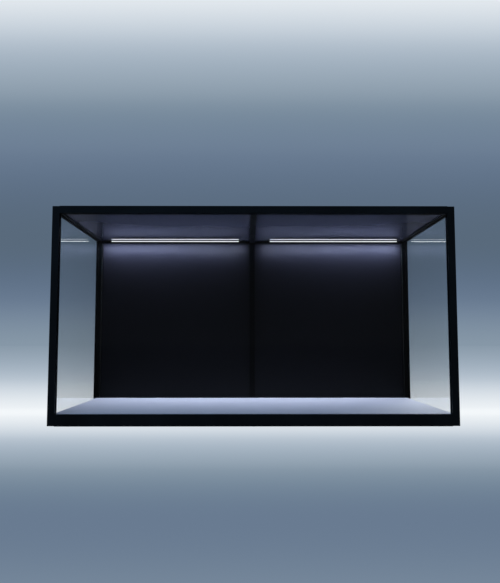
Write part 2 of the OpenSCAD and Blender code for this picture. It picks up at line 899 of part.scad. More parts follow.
module lock_body_left() {
    color(steel) difference() {
        union() {
            bar_y(lock_x, pocket_y[1] + 0.2, door_y[1], lock_z, lock_barrel_r);
            bar_y(lock_x, door_y[1], door_y[1] + lock_face, lock_z, lock_barrel_r + 2);
        }
        bar_y(lock_x, 0, hy, lock_z, plug_r + running);
    }
}

module lock_body_right() {
    mirror([1, 0, 0]) lock_body_left();
}

// Key slot in the outer end, and a tail for the cam at the inner end
module lock_plug_left() {
    face = door_y[1] + lock_face + 0.4;
    color(steel) difference() {
        union() {
            bar_y(lock_x, cam_y[1], face, lock_z, plug_r);
            bar_y(lock_x, cam_y[0], cam_y[1], lock_z, plug_tail_r);
        }
        box([lock_x - key_slot[0] / 2, face - key_slot[2], lock_z - key_slot[1] / 2],
            [lock_x + key_slot[0] / 2, face + 1, lock_z + key_slot[1] / 2]);
    }
}

module lock_plug_right() {
    mirror([1, 0, 0]) lock_plug_left();
}

// Cam, parked: it hangs down inside the door
module lock_cam_left() {
    tip = cam_len - cam_half;
    color(steel) difference() {
        union() {
            bar_y(lock_x, cam_y[0], cam_y[1], lock_z, cam_boss_r);
            bar_y(lock_x, cam_y[0], cam_y[1], lock_z - tip, cam_half);
            box([lock_x - cam_half, cam_y[0], lock_z - tip], [lock_x + cam_half, cam_y[1], lock_z]);
        }
        bar_y(lock_x, 0, hy, lock_z, plug_tail_r);
    }
}

module lock_cam_right() {
    mirror([1, 0, 0]) lock_cam_left();
}

module door_pull_left() {
    color(steel) difference() {
        union() {
            bar_y(pull_x, door_y[1] - pull_depth, door_y[1], pull_z, pull_r);
            bar_y(pull_x, door_y[1], door_y[1] + 1, pull_z, pull_r + 2.5);
        }
        bar_y(pull_x, door_y[1] - pull_depth + pull_wall, hy, pull_z, pull_r - pull_wall);
    }
}

module door_pull_right() {
    mirror([1, 0, 0]) door_pull_left();
}

base_rail_front();
base_rail_rear();
base_rail_left();
base_rail_right();
base_pan();
base_pads();
deck_bearers();
deck_panel();
post_front_left();
post_front_right();
post_rear_left();
post_rear_right();
post_rear_centre();
top_rail_front();
top_rail_rear();
top_rail_left();
top_rail_right();
roof_beam();
ceiling_panel_left();
ceiling_panel_right();
roof_panel();
panel_screws();
base_spigots();
top_spigots();
base_spigot_screws();
top_spigot_screws();
glass_front();
glass_left();
glass_right();
gasket_front();
gasket_sides();
light_channel(light_left_x);  // light_channel_left
light_channel(light_right_x);  // light_channel_right
light_board(light_left_x);  // light_board_left
light_board(light_right_x);  // light_board_right
light_chips();
light_diffuser(light_left_x);  // light_diffuser_left
light_diffuser(light_right_x);  // light_diffuser_right
light_blanks();
light_driver();
light_loom();
service_cup();
cord_gland();
switch_housing();
switch_rocker();
door_seal_left();
door_seal_right();
pivot_bushes();
door_panel_left();
door_pivots_left();
lock_body_left();
lock_plug_left();
lock_cam_left();
door_pull_left();
door_panel_right();
door_pivots_right();
lock_body_right();
lock_plug_right();
lock_cam_right();
door_pull_right();
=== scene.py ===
import json
import math

import bmesh
import bpy
from mathutils import Matrix, Vector


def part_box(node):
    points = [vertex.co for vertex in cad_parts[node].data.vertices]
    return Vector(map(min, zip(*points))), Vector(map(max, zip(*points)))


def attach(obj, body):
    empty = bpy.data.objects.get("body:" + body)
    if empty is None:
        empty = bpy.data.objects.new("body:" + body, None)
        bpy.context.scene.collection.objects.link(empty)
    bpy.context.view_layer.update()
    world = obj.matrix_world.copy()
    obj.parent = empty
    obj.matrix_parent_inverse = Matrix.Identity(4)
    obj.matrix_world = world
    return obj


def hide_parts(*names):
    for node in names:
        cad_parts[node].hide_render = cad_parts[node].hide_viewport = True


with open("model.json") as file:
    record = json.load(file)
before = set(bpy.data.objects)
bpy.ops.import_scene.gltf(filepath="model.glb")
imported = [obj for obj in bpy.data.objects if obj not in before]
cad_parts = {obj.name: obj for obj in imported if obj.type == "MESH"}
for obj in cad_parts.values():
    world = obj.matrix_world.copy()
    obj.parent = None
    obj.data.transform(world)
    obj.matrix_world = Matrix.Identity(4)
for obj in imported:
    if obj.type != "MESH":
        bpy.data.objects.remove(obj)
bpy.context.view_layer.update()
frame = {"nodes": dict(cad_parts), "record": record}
nodes = frame["nodes"]
MM = 0.001
SIDES = ("left", "right")

# Every finish by its name, filled by make_finishes
finishes = {}


# ---- Node helpers -------------------------------------------------------------------------


def new_node(nt, kind, **settings):
    """A shader node with its plain settings."""
    node = nt.nodes.new("ShaderNode" + kind)
    for name, value in settings.items():
        setattr(node, name, value)
    return node


def feed(nt, socket, value):
    """Link an output to a socket, or write a number, vector or colour into it."""
    if isinstance(value, bpy.types.NodeSocket):
        nt.links.new(value, socket)
    else:
        socket.default_value = value


def new_finish(name):
    """An empty material, kept in finishes: (node tree, Principled node, output node)."""
    finishes[name] = bpy.data.materials.new(name)
    finishes[name].use_nodes = True
    nt = finishes[name].node_tree
    nt.nodes.clear()
    out = new_node(nt, "OutputMaterial")
    shader = new_node(nt, "BsdfPrincipled")
    feed(nt, out.inputs[0], shader.outputs[0])
    return nt, shader, out


def coords(nt, factors=(1, 1, 1)):
    """Object coordinates, in metres, times a factor along each axis."""
    tex = new_node(nt, "TexCoord")
    mapping = new_node(nt, "Mapping")
    feed(nt, mapping.inputs["Scale"], factors)
    feed(nt, mapping.inputs["Vector"], tex.outputs["Object"])
    return mapping.outputs[0]


def noise(nt, vector, scale, detail=4.0, rough=0.55):
    """Fractal noise, from 0 to 1."""
    tex = new_node(nt, "TexNoise")
    feed(nt, tex.inputs["Vector"], vector)
    feed(nt, tex.inputs["Scale"], scale)
    feed(nt, tex.inputs["Detail"], detail)
    feed(nt, tex.inputs["Roughness"], rough)
    return tex.outputs[0]


def cells(nt, vector, scale):
    """Round dimples: the distance to the nearest of many scattered points."""
    tex = new_node(nt, "TexVoronoi")
    feed(nt, tex.inputs["Vector"], vector)
    feed(nt, tex.inputs["Scale"], scale)
    return tex.outputs["Distance"]


def calc(nt, kind, *values, clamp=False):
    """A Math node on numbers or outputs."""
    node = new_node(nt, "Math", operation=kind, use_clamp=clamp)
    for socket, value in zip(node.inputs, values):
        feed(nt, socket, value)
    return node.outputs[0]


def axis(nt, vector, letter):
    """One of a vector's three parts."""
    split = new_node(nt, "SeparateXYZ")
    feed(nt, split.inputs[0], vector)
    return split.outputs[letter]


def remap(nt, value, low, high, start=0.3, end=0.7):
    """A value from start to end turned into one from low to high."""
    node = new_node(nt, "MapRange")
    feed(nt, node.inputs["Value"], value)
    feed(nt, node.inputs["From Min"], start)
    feed(nt, node.inputs["From Max"], end)
    feed(nt, node.inputs["To Min"], low)
    feed(nt, node.inputs["To Max"], high)
    return node.outputs[0]


def blend_colour(nt, value, low, high, start=0.3, end=0.7):
    """One colour up to start, turning into another by end."""
    node = new_node(nt, "ValToRGB")
    for element, at, colour in zip(node.color_ramp.elements, (start, end), (low, high)):
        element.position = at
        element.color = (*colour, 1)
    feed(nt, node.inputs[0], value)
    return node.outputs[0]


def mix_colour(nt, share, first, second, how="MIX"):
    """Two colours mixed by a share, which is a number or an output."""
    node = new_node(nt, "Mix", data_type="RGBA", blend_type=how)
    feed(nt, node.inputs[0], share)
    feed(nt, node.inputs[6], first)
    feed(nt, node.inputs[7], second)
    return node.outputs[2]


def mix_shader(nt, share, first, second):
    """Two shaders mixed by a share."""
    node = new_node(nt, "MixShader")
    for socket, value in zip(node.inputs, (share, first, second)):
        feed(nt, socket, value)
    return node.outputs[0]


def bump(nt, shader, height, depth, strength=0.5, after=None):
    """Bump of a depth in metres, on top of another bump if after is given."""
    node = new_node(nt, "Bump")
    feed(nt, node.inputs["Distance"], depth)
    feed(nt, node.inputs["Strength"], strength)
    feed(nt, node.inputs["Height"], height)
    if after:
        feed(nt, node.inputs["Normal"], after)
    feed(nt, shader.inputs["Normal"], node.outputs[0])
    return node.outputs[0]


def scaled(colour, by):
    """A colour made lighter or darker."""
    return tuple(c * by for c in colour)


def inside_and_out(nt, at, inner, outer, start):
    """A painted shade colour on the faces towards the display space, the part's own colour from
    start (in Y) outwards.
    """
    share = remap(nt, axis(nt, at, "Y"), 0.0, 1.0, start, start + 2 * MM)
    return mix_colour(nt, share, inner, outer)


# ---- Finishes -----------------------------------------------------------------------------


def powder_coat(name, colour, rough=0.45, peel=700.0, specular=0.2, outer=None):
    """Powder coat: orange-peel bump with finer pits, cloudy shade and uneven gloss."""
    nt, shader, _ = new_finish(name)
    at = coords(nt)
    clouds = noise(nt, at, 9.0, 5.0)
    base = blend_colour(nt, clouds, colour, scaled(colour, 1.6))
    # With an outer colour given, colour is a painted shade on the faces towards the display space
    # and outer is the part's own colour outside
    if outer:
        outside = blend_colour(nt, clouds, outer, scaled(outer, 1.6))
        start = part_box("post_rear_centre")[0].y + 4 * MM
        base = inside_and_out(nt, at, base, outside, start)
    feed(nt, shader.inputs["Base Color"], base)
    gloss = remap(nt, noise(nt, at, 40.0), rough - 0.06, rough + 0.08)
    feed(nt, shader.inputs["Roughness"], gloss)
    shader.inputs["Specular IOR Level"].default_value = specular
    broad = bump(nt, shader, noise(nt, at, peel, 2.0), 0.12 * MM, 0.35)
    bump(nt, shader, cells(nt, at, peel * 2.6), 0.04 * MM, 0.25, broad)


def satin_sheet(name, colour, rough, coat, coat_rough, specular, outer=None):
    """Satin sheet under a smooth film, which mirrors more the lower the angle."""
    nt, shader, _ = new_finish(name)
    at = coords(nt)
    clouds = noise(nt, at, 6.0)
    base = blend_colour(nt, clouds, colour, scaled(colour, 1.04))
    # With an outer colour given, colour is a painted shade on the faces towards the display space
    # and outer is the sheet's own colour outside
    if outer:
        outside = blend_colour(nt, clouds, outer, scaled(outer, 1.18))
        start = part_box("door_panel_left")[0].y + 1 * MM
        base = inside_and_out(nt, at, base, outside, start)
    feed(nt, shader.inputs["Base Color"], base)
    gloss = remap(nt, noise(nt, at, 55.0), rough - 0.05, rough + 0.05)
    feed(nt, shader.inputs["Roughness"], gloss)
    shader.inputs["Specular IOR Level"].default_value = specular
    shader.inputs["Coat Weight"].default_value = coat
    shader.inputs["Coat Roughness"].default_value = coat_rough
    bump(nt, shader, noise(nt, at, 1500.0, 2.0), 0.03 * MM, 0.2)


def laminate(name, colour, speck, rough=0.5):
    """Matt laminate: fine mineral specks under a low, even texture."""
    nt, shader, _ = new_finish(name)
    at = coords(nt)
    base = blend_colour(nt, noise(nt, at, 5.0), scaled(colour, 0.97), colour)
    fleck = blend_colour(nt, noise(nt, at, 900.0, 1.0), speck, (1, 1, 1), 0.28, 0.36)
    feed(nt, shader.inputs["Base Color"], mix_colour(nt, 1.0, base, fleck, "MULTIPLY"))
    gloss = remap(nt, noise(nt, at, 70.0), rough - 0.06, rough + 0.06)
    feed(nt, shader.inputs["Roughness"], gloss)
    shader.inputs["Specular IOR Level"].default_value = 0.25
    bump(nt, shader, noise(nt, at, 1200.0, 3.0), 0.04 * MM, 0.3)


def metal(name, colour, rough, factors, scale=160.0, metallic=1.0):
    """Brushed or drawn metal: grain lines along the axes of factor 1, smudges in the gloss."""
    nt, shader, _ = new_finish(name)
    grain = noise(nt, coords(nt, factors), scale, 6.0, 0.7)
    smudge = noise(nt, coords(nt), 35.0)
    feed(nt, shader.inputs["Base Color"], blend_colour(nt, grain, scaled(colour, 0.78), colour))
    feed(nt, shader.inputs["Roughness"], remap(nt, smudge, rough - 0.08, rough + 0.1))
    shader.inputs["Metallic"].default_value = metallic
    bump(nt, shader, grain, 0.05 * MM, 0.35)


def moulded(name, colour, rough, grain=1100.0, depth=0.05 * MM, specular=0.4):
    """Moulded plastic or rubber: spark-eroded grain and slightly uneven gloss."""
    nt, shader, _ = new_finish(name)
    at = coords(nt)
    light = tuple(c * 1.35 + 0.002 for c in colour)
    feed(nt, shader.inputs["Base Color"], blend_colour(nt, noise(nt, at, 60.0), colour, light))
    gloss = remap(nt, noise(nt, at, 130.0), rough - 0.06, rough + 0.08)
    feed(nt, shader.inputs["Roughness"], gloss)
    shader.inputs["Specular IOR Level"].default_value = specular
    bump(nt, shader, cells(nt, at, grain), depth, 0.45)


def pane_glass(name, tint, reflect, straight_on):
    """A pane: clear straight through, mirror-like at a low angle, with very faint dust."""
    nt, shader, out = new_finish(name)
    dust = blend_colour(nt, noise(nt, coords(nt), 7.0), (0.92, 0.95, 0.96), (0.97, 0.985, 0.99))
    feed(nt, shader.inputs["Base Color"], dust)
    shader.inputs["Roughness"].default_value = 0.0
    shader.inputs["Metallic"].default_value = 1.0
    clear = new_node(nt, "BsdfTransparent")
    clear.inputs[0].default_value = (*tint, 1)
    facing = new_node(nt, "LayerWeight")
    facing.inputs["Blend"].default_value = 0.5
    steep = calc(nt, "POWER", facing.outputs["Facing"], 4.0)
    share = calc(nt, "MULTIPLY_ADD", steep, reflect, straight_on, clamp=True)
    feed(nt, out.inputs[0], mix_shader(nt, share, clear.outputs[0], shader.outputs[0]))


RIPPLE_SCALE = 9.7


def lit_opal(name, strength, colour, node):
    """Lit opal cover: a bright line along the middle, with a faint ripple along it."""
    nt, shader, _ = new_finish(name)
    at = coords(nt)
    wave = new_node(nt, "TexWave")
    feed(nt, wave.inputs["Vector"], at)
    feed(nt, wave.inputs["Scale"], RIPPLE_SCALE)
    feed(nt, wave.inputs["Distortion"], 0.0)
    low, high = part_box(node)
    half = (high.z - low.z) / 2
    off_axis = calc(nt, "ABSOLUTE", calc(nt, "SUBTRACT", axis(nt, at, "Z"), low.z + half))
    across = remap(nt, off_axis, 1.0, 0.0, half * 0.45, half * 1.05)
    ripple = remap(nt, wave.outputs["Fac"], 0.94, 1.0, 0.0, 1.0)
    level = calc(nt, "MULTIPLY", across, ripple)
    shade = blend_colour(nt, level, scaled(colour, 0.12), colour, 0.0, 1.0)
    dull = blend_colour(nt, noise(nt, at, 300.0), (0.012, 0.012, 0.013), (0.02, 0.02, 0.021))
    feed(nt, shader.inputs["Base Color"], dull)
    feed(nt, shader.inputs["Emission Color"], shade)
    shader.inputs["Emission Strength"].default_value = strength
    shader.inputs["Roughness"].default_value = 0.4
    bump(nt, shader, noise(nt, at, 900.0), 0.03 * MM, 0.2)


def make_frame_finishes():
    """Powder coat for the frame, a near-black painted shade on the inner faces of its rear parts,
    the roof and the bottom pan.
    """
    black = (0.0075, 0.0105, 0.0125)
    # Painted shade: a near-black colour for the rear parts' faces towards the display space;
    # their outer faces keep the frame's black
    shade = (0.0003, 0.0005, 0.0007)
    powder_coat("frame_black", black)
    powder_coat("painted_shade_black", shade, rough=0.6, specular=0.1, outer=black)
    powder_coat("roof_black", (0.010, 0.011, 0.013), rough=0.36, peel=420.0, specular=0.4)
    powder_coat("pan_black", (0.018, 0.019, 0.021), rough=0.55)


def make_panel_finishes():
    """Deck, mirror-gloss ceiling, doors with a painted shade on their inner faces, and panes."""
    laminate("deck_white", (0.86, 0.87, 0.90), (0.90, 0.91, 0.92))
    satin_sheet("ceiling_satin", (0.155, 0.168, 0.245), 0.6, 1.0, 0.0, 0.0)
    # Painted shade: the doors' faces towards the display space are darker than their outside
    # faces
    door, door_outside = (0.0042, 0.0045, 0.0064), (0.020, 0.021, 0.024)
    satin_sheet("door_black", door, 0.5, 0.05, 0.3, 0.12, outer=door_outside)
    pane_glass("front_glass", (0.99, 0.993, 0.993), 0.2, 0.01)
    pane_glass("side_glass", (0.985, 0.99, 0.99), 0.56, 0.02)


def make_metal_finishes():
    """Bare, anodised and plated metal."""
    metal("aluminium_mill", (0.72, 0.73, 0.74), 0.38, (1, 14, 14))
    metal("screw_steel", (0.32, 0.33, 0.35), 0.3, (6, 6, 1), scale=900.0)
    metal("channel_black", (0.025, 0.026, 0.03), 0.4, (1, 12, 12), scale=200.0, metallic=0.6)
    metal("pivot_steel", (0.58, 0.58, 0.6), 0.28, (10, 10, 1))
    metal("lock_steel", (0.66, 0.66, 0.68), 0.24, (1, 8, 1), scale=300.0)
    metal("pull_steel", (0.42, 0.43, 0.45), 0.34, (1, 1, 9), scale=260.0)


def make_plastic_finishes():
    """Moulded plastic and rubber."""
    moulded("rubber_black", (0.006, 0.006, 0.0065), 0.78, 700.0, 0.08 * MM, 0.05)
    moulded("board_white", (0.80, 0.81, 0.82), 0.45)
    moulded("driver_white", (0.78, 0.79, 0.79), 0.5)
    moulded("loom_black", (0.03, 0.03, 0.032), 0.5)
    moulded("entry_plastic", (0.022, 0.022, 0.024), 0.5)
    moulded("rocker_plastic", (0.014, 0.014, 0.016), 0.22, 500.0, 0.02 * MM, 0.5)
    moulded("bush_nylon", (0.74, 0.72, 0.66), 0.45)


def make_finishes():
    make_frame_finishes()
    make_panel_finishes()
    make_metal_finishes()
    make_plastic_finishes()
    lit_opal("light_chip", 1.0, (1.0, 0.93, 0.62), "light_chips")
    lit_opal("opal_diffuser", 1.4, (0.93, 0.96, 1.0), "light_diffuser_left")


# ---- CAD nodes ----------------------------------------------------------------------------

# Nodes whose finish isn't simply that of their slot in the record
OWN_FINISH = {
    "roof_panel": "roof_black",
    "glass_front": "front_glass",
    "glass_left": "side_glass",
    "glass_right": "side_glass",
    # The rear posts, rear top rail, light blanks and door seals carry a painted shade on their
    # inner faces
    "post_rear_left": "painted_shade_black",
    "post_rear_right": "painted_shade_black",
    "post_rear_centre": "painted_shade_black",
    "top_rail_rear": "painted_shade_black",
    "light_blanks": "painted_shade_black",
    "door_seal_left": "painted_shade_black",
    "door_seal_right": "painted_shade_black",
}

# Width of the rounded edges, in millimetres, by how a node's name starts
BEVELS = {
    "base_rail": 0.35,
    "post_": 0.35,
    "top_rail": 0.35,
    "roof_beam": 0.4,
    "roof_panel": 0.4,
    "deck_panel": 0.5,
    "door_panel": 0.6,
    "lock_body": 0.3,
    "lock_plug": 0.15,
    "lock_cam": 0.25,
    "service_cup": 0.35,
    "switch_": 0.3,
    "glass_": 0.6,
    "light_driver": 0.8,
    "pivot_bushes": 0.2,
    "door_pivots": 0.4,
    "base_pan": 0.2,
    "deck_bearers": 0.4,
}
BEVEL_ANGLE = 40


def soften(obj, width):
    """Small rounded edges, as a real finished part has."""
    mod = obj.modifiers.new("edge", "BEVEL")
    mod.width = width * MM
    mod.segments = 2
    mod.limit_method = "ANGLE"
    mod.angle_limit = math.radians(BEVEL_ANGLE)
    mod.harden_normals = True


def dress_nodes():
    """Give every CAD node its finish, and its rounded edges."""
    slots = {s["node"]: s["material_slot"] for s in frame["record"]["subparts"]}
    for name, obj in nodes.items():
        mat = finishes[OWN_FINISH.get(name, slots[name])]
        if not obj.material_slots:
            obj.data.materials.append(mat)
        for slot in obj.material_slots:
            slot.link = "OBJECT"
            slot.material = mat
        for start, width in BEVELS.items():
            if name.startswith(start):
                soften(obj, width)
                break


# ---- Mesh helpers -------------------------------------------------------------------------


def joined_points(vert, seen):
    """The places of all the points that edges join to this one."""
    stack, group = [vert], []
    seen.add(vert.index)
    while stack:
        v = stack.pop()
        group.append(v.co.copy())
        for edge in v.link_edges:
            other = edge.other_vert(v)
            if other.index not in seen:
                seen.add(other.index)
                stack.append(other)
    return group


def islands(node):
    """The boxes (low, high) of the separate solids in a CAD node."""
    bm = bmesh.new()
    bm.from_mesh(nodes[node].data)
    bmesh.ops.remove_doubles(bm, verts=bm.verts, dist=1e-6)
    bm.verts.ensure_lookup_table()
    seen, found = set(), []
    for vert in bm.verts:
        if vert.index not in seen:
            points = joined_points(vert, seen)
            low = Vector([min(p[i] for p in points) for i in range(3)])
            high = Vector([max(p[i] for p in points) for i in range(3)])
            found.append((low, high))
    bm.free()
    return found


def ring(bm, r, z, count):
    """Points evenly round a circle."""
    turns = [2 * math.pi * i / count for i in range(count)]
    return [bm.verts.new((r * math.cos(t), r * math.sin(t), z)) for t in turns]


def to_hexagon(verts):
    """Pull a ring in to a hexagon whose corners stay on the ring."""
    side = len(verts) // 6
    for k, v in enumerate(verts):
        turn = (k % side) / side * math.pi / 3 - math.pi / 6
        v.co.xy *= math.cos(math.pi / 6) / math.cos(turn)


def skin(bm, a, b):
    """A band of faces between two rings."""
    n = len(a)
    for i in range(n):
        bm.faces.new((a[i], a[(i + 1) % n], b[(i + 1) % n], b[i]))


def lathe(bm, profile, count=48, closed_ends=True):
    """A turned shape from (radius, height) pairs, with or without its two end faces."""
    rings = [ring(bm, r, z, count) for r, z in profile]
    for a, b in zip(rings, rings[1:]):
        skin(bm, a, b)
    if closed_ends:
        bm.faces.new(list(reversed(rings[0])))
        bm.faces.new(rings[-1])
    return rings


def to_rear(bm):
    """Turn what was built up +Z so that it points to +Y."""
    bmesh.ops.rotate(bm, matrix=Matrix.Rotation(-math.pi / 2, 3, "X"), verts=bm.verts)


def finish_mesh(bm, name, mat, angle=35):
    """A shaded object from the mesh, with edges sharper than the angle left crisp."""
    bmesh.ops.recalc_face_normals(bm, faces=bm.faces)
    mesh = bpy.data.meshes.new(name)
    bm.to_mesh(mesh)
    bm.free()
    obj = bpy.data.objects.new(name, mesh)
    bpy.context.scene.collection.objects.link(obj)
    mesh.materials.append(mat)
    mesh.polygons.foreach_set("use_smooth", [True] * len(mesh.polygons))
    mesh.set_sharp_from_angle(angle=math.radians(angle))
    return obj


# ---- Screws and pads ----------------------------------------------------------------------

SOCKET_DEPTH = 0.55 * MM
SCREW_RIM = 0.12 * MM


def socket_screw(bm, where, up, depth, head_r, shank_r):
    """Countersunk screw with a hexagon socket; where is the middle of its head's face."""
    start = len(bm.verts)
    key = head_r * 0.45
    profile = [
        (key, -SOCKET_DEPTH),
        (key, 0.0),
        (head_r * 0.93, 0.0),
        (head_r, -SCREW_RIM),
        (shank_r, -SCREW_RIM - (head_r - shank_r)),
        (shank_r, -depth + 0.4 * MM),
        (shank_r * 0.7, -depth),
    ]
    rings = lathe(bm, profile, 24)
    for verts in rings[:2]:
        to_hexagon(verts)
    bm.verts.ensure_lookup_table()
    flip = Matrix.Identity(4) if up else Matrix.Rotation(math.pi, 4, "X")
    bmesh.ops.transform(bm, matrix=Matrix.Translation(where) @ flip, verts=bm.verts[start:])


def make_panel_screws():
    """The roof's and the bottom pan's screws, in the places of their CAD solids."""
    bm = bmesh.new()
    middle = sum(corner.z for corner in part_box("glass_front")) / 2
    for low, high in islands("panel_screws"):
        up = low.z > middle
        centre = (low + high) / 2
        where = Vector((centre.x, centre.y, high.z if up else low.z))
        head_r = (high.x - low.x) / 2
        socket_screw(bm, where, up, high.z - low.z, head_r, head_r * 0.53)
    obj = finish_mesh(bm, "panel_screw_set", finishes["screw_steel"])
    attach(obj, "case")
    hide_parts("panel_screws")


def pad_profile(r, height):
    """A pad's outline: a rounded rim, three grooves in the sole and a shallow dish."""
    profile = [(r, height), (r, 0.35 * MM), (r - 0.15 * MM, 0.12 * MM), (r - 0.4 * MM, 0.0)]
    for k in range(3):
        groove = r * (0.82 - 0.2 * k)
        profile += [(groove, 0.0), (groove - 0.2 * MM, 0.3 * MM)]
        profile += [(groove - 0.6 * MM, 0.3 * MM), (groove - 0.8 * MM, 0.0)]
    return profile + [(r * 0.2, 0.0), (r * 0.12, 0.4 * MM)]


def make_pads():
    """The rubber pads, in the places of their CAD solids."""
    bm = bmesh.new()
    for low, high in islands("base_pads"):
        start = len(bm.verts)
        lathe(bm, pad_profile((high.x - low.x) / 2, high.z - low.z), 40)
        bm.verts.ensure_lookup_table()
        centre = (low + high) / 2
        bmesh.ops.translate(bm, vec=(centre.x, centre.y, low.z), verts=bm.verts[start:])
    obj = finish_mesh(bm, "rubber_pads", finishes["rubber_black"])
    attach(obj, "case")
    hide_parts("base_pads")


# ---- Finger pulls and cord gland ----------------------------------------------------------


def make_pull(side):
    """Finger pull: a spun dish with a rolled rim."""
    low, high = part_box(f"door_pull_{side}")
    centre = (low + high) / 2
    rim = (high.x - low.x) / 2
    depth = high.y - low.y
    bowl = rim - 3.7 * MM
    profile = [
        (rim - 2.6 * MM, 0.0),
        (rim - 2.5 * MM, depth - 1.0 * MM),
        (rim, depth - 1.0 * MM),
        (rim, depth - 0.45 * MM),
        (rim - 0.5 * MM, depth - 0.08 * MM),
        (rim - 1.2 * MM, depth),
        (bowl + 0.9 * MM, depth),
        (bowl + 0.3 * MM, depth - 0.15 * MM),
        (bowl, depth - 0.8 * MM),
        (bowl - 0.2 * MM, 3.0 * MM),
        (bowl - 0.9 * MM, 1.9 * MM),
        (bowl - 2.2 * MM, 1.35 * MM),
        (bowl * 0.45, 1.2 * MM),
        (bowl * 0.1, 1.3 * MM),
    ]
    bm = bmesh.new()
    lathe(bm, profile, 56)
    to_rear(bm)
    bmesh.ops.translate(bm, vec=(centre.x, low.y, centre.z), verts=bm.verts)
    obj = finish_mesh(bm, f"finger_pull_{side}", finishes["pull_steel"])
    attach(obj, f"door_{side}")
    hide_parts(f"door_pull_{side}")


CUP_WALL = 1.5 * MM
NECK_R = 6.0 * MM
THREAD_DEPTH = 0.3 * MM
THREAD_PITCH = 1.1 * MM
CAP_NUT_T = 4.0 * MM
BACK_NUT_T = 3.0 * MM
NUT_CHAMFER = 0.5 * MM


def gland_neck(bm, bore, end):
    """The hollow neck: three threads at its inner end and a chamfered mouth."""
    root = NECK_R - THREAD_DEPTH
    profile = [(bore, 0.0), (root, 0.0)]
    for k in range(3):
        z = 0.25 * MM + k * THREAD_PITCH
        profile += [(NECK_R, z), (NECK_R, z + 0.45 * MM), (root, z + 0.7 * MM)]
    profile += [(root, end - 0.6 * MM), (bore + 0.9 * MM, end), (bore, end - 0.3 * MM)]
    rings = lathe(bm, profile, closed_ends=False)
    skin(bm, rings[-1], rings[0])


def hexagon_nut(bm, z0, z1, r):
    """A nut round the neck, from z0 to z1, with chamfered corners."""
    flat = r * math.cos(math.pi / 6) - 0.2 * MM
    inner = NECK_R - 0.35 * MM
    radii = (inner, flat, r, r, flat, inner)
    heights = (z0, z0, z0 + NUT_CHAMFER, z1 - NUT_CHAMFER, z1, z1)
    rings = [ring(bm, a, z, 48) for a, z in zip(radii, heights)]
    for verts in rings[2:4]:
        to_hexagon(verts)
    for a, b in zip(rings, rings[1:] + rings[:1]):
        skin(bm, a, b)


def make_gland():
    """Cord gland: a threaded neck with a nut on each side of the cup's floor."""
    low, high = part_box("cord_gland")
    centre = (low + high) / 2
    nut_r = (high.x - low.x) / 2
    cup_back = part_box("service_cup")[0].y - low.y
    cup_floor = cup_back + CUP_WALL
    bore = frame["record"]["mounts"][1]["dims"]["r_mm"] * MM
    bm = bmesh.new()
    gland_neck(bm, bore, high.y - low.y)
    hexagon_nut(bm, cup_floor, cup_floor + CAP_NUT_T, nut_r)
    hexagon_nut(bm, cup_back - BACK_NUT_T, cup_back, nut_r)
    to_rear(bm)
    bmesh.ops.translate(bm, vec=(centre.x, low.y, centre.z), verts=bm.verts)
    obj = finish_mesh(bm, "gland_turned", finishes["entry_plastic"])
    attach(obj, "case")
    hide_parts("cord_gland")


def make_pieces():
    make_panel_screws()
    make_pads()
    for side in SIDES:
        make_pull(side)
    make_gland()


# ---- Backdrop and floor -------------------------------------------------------------------


def srgb(r, g, b):
    """A screen colour, each part 0 to 255, in linear light."""
    parts = [c / 255 for c in (r, g, b)]
    return (*[c / 12.92 if c <= 0.04045 else ((c + 0.055) / 1.055) ** 2.4 for c in parts], 1)


# The five shades of the backdrop and the floor
HORIZON = srgb(134, 151, 167)
STEEL = srgb(105, 123, 145)
SLATE = srgb(89, 106, 124)
PALE = srgb(185, 197, 209)
BRIGHT = srgb(236, 241, 245)

# The even light that the backdrop and the floor give, whatever shades are seen on them
SOFT_LIGHT = (0.85, 0.92, 1.0, 1)
WORLD_LIGHT = 0.10
FLOOR_LIGHT = 0.06

# Backdrop shades by slope (rise over distance), from the horizon up to WORLD_TOP
WORLD_TOP = 0.6
WORLD_STOPS = [
    (0.0, HORIZON),
    (0.115, STEEL),
    (0.28, SLATE),
    (0.51, STEEL),
    (0.67, HORIZON),
    (0.84, PALE),
    (1.0, BRIGHT),
]

# Floor shades by nearness (1 / distance) to a line in front of the case, up to FLOOR_TOP
FLOOR_RADIUS = 60
FLOOR_LINE_Y = -2.12
FLOOR_NEAREST = 0.25
FLOOR_TOP = 2.0
FLOOR_STOPS = [
    (0.0, HORIZON),
    (0.12, PALE),
    (0.21, BRIGHT),
    (0.24, BRIGHT),
    (0.31, PALE),
    (0.41, HORIZON),
    (0.57, STEEL),
    (1.0, HORIZON),
]


def shaded(nt, value, top, stops):
    """Smooth shades through the stops as the value goes from 0 to top."""
    node = new_node(nt, "ValToRGB")
    feed(nt, node.inputs[0], remap(nt, value, 0.0, 1.0, 0.0, top))
    ramp = node.color_ramp
    ramp.interpolation = "CARDINAL"
    while len(ramp.elements) > 1:
        ramp.elements.remove(ramp.elements[-1])
    ramp.elements[0].position, ramp.elements[0].color = stops[0]
    for at, colour in stops[1:]:
        ramp.elements.new(at).color = colour
    return node.outputs[0]


def seen_or_lit(nt, kind, seen, lit_strength):
    """The shades where they are seen directly, and a dim even light for what they light."""
    bright = new_node(nt, kind)
    feed(nt, bright.inputs[0], seen)
    feed(nt, bright.inputs[1], 1.0)
    dim = new_node(nt, kind)
    feed(nt, dim.inputs[0], SOFT_LIGHT)
    feed(nt, dim.inputs[1], lit_strength)
    direct = new_node(nt, "LightPath").outputs["Is Camera Ray"]
    return mix_shader(nt, direct, dim.outputs[0], bright.outputs[0])


